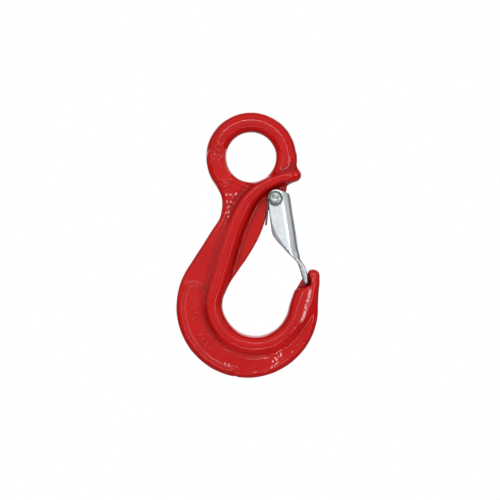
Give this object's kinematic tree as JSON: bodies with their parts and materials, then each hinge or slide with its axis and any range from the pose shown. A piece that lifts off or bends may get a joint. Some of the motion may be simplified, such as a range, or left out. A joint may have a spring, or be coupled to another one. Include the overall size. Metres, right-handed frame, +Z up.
{
  "type": "eye sling hook with safety latch",
  "caption": "Forged steel eye hook for chain slings, with a sprung sheet-metal safety latch that closes the throat.",
  "frame": {"origin": "centre of the eye, on the forging's parting plane", "axes": "+Z up through the eye away from the bowl, +X towards the hook's tip, +Y from the near face to the far face"},
  "size_m": [0.0749, 0.0192, 0.1387],
  "materials": {
    "paint": "glossy red enamel over a forged surface",
    "zinc_sheet": "bright zinc plate on pressed sheet steel",
    "rivet_steel": "plated rivet, dull satin",
    "spring_wire": "dark drawn spring wire"
  },
  "bodies": {
    "hook": {"hook_body": "paint", "latch_spring": "spring_wire"},
    "latch": {"latch": "zinc_sheet", "latch_rivet": "rivet_steel"}
  },
  "joints": [
    {"name": "latch_hinge", "type": "hinge", "parent": "hook", "child": "latch", "pos_m": [0.0125, 0, -0.0218], "axis": [0, 1, 0], "range_deg": [0, 40], "stiffness_Nm_per_rad": 0.06, "springref_deg": -60.16, "deforming": ["latch_spring"]}
  ]
}
